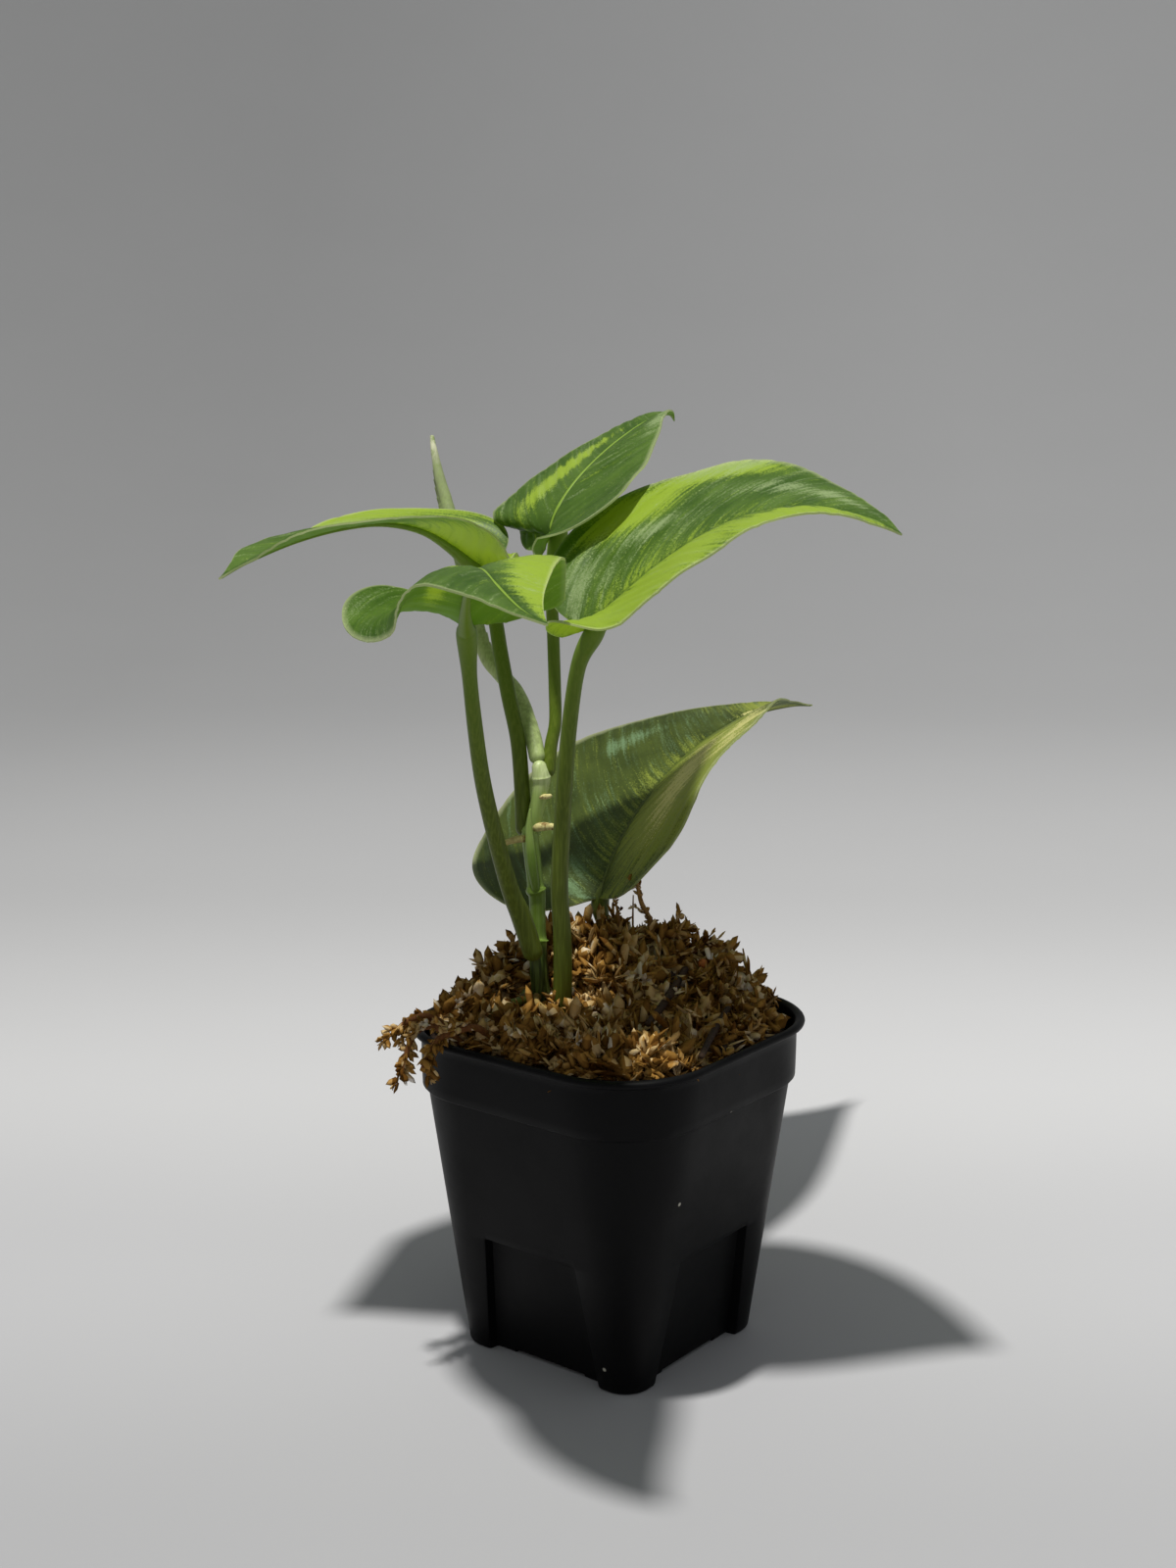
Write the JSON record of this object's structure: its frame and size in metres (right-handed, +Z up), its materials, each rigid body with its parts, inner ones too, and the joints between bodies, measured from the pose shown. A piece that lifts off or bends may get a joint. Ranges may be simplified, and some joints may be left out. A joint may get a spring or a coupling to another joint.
{
  "type": "satin pothos in a nursery pot",
  "caption": "Young vining house plant with heart-shaped marbled leaves on long stalks, rooted in a mound of moss in a small square tapered pot.",
  "frame": {"origin": "middle of the pot's foot, on the surface that the pot stands on", "axes": "+Z up; X and Y square to the pot's walls; the picture looks along the direction 37.6 degrees from +Y towards -X, at a corner of the pot"},
  "size_m": [0.1402, 0.224, 0.2082],
  "materials": {
    "pot_plastic": "moulded polypropylene, black, satin",
    "moss": "dried long-fibre sphagnum moss, tan and cream",
    "stem": "smooth green living stem",
    "leaf": "satin leaf, green marbled with yellow-green and cream",
    "young_leaf": "rolled young leaf, pale cream-green",
    "root": "smooth green aerial root",
    "twig": "dark dead twig with rough bark"
  },
  "bodies": {
    "root": {"pot": "pot_plastic", "moss": "moss", "vine": "stem", "leaf_right": "leaf", "leaf_front": "leaf", "leaf_left": "leaf", "leaf_back": "leaf", "leaf_low": "leaf", "new_leaf": "young_leaf", "aerial_root": "root", "twig_long": "twig", "twig_short": "twig"}
  },
  "joints": []
}
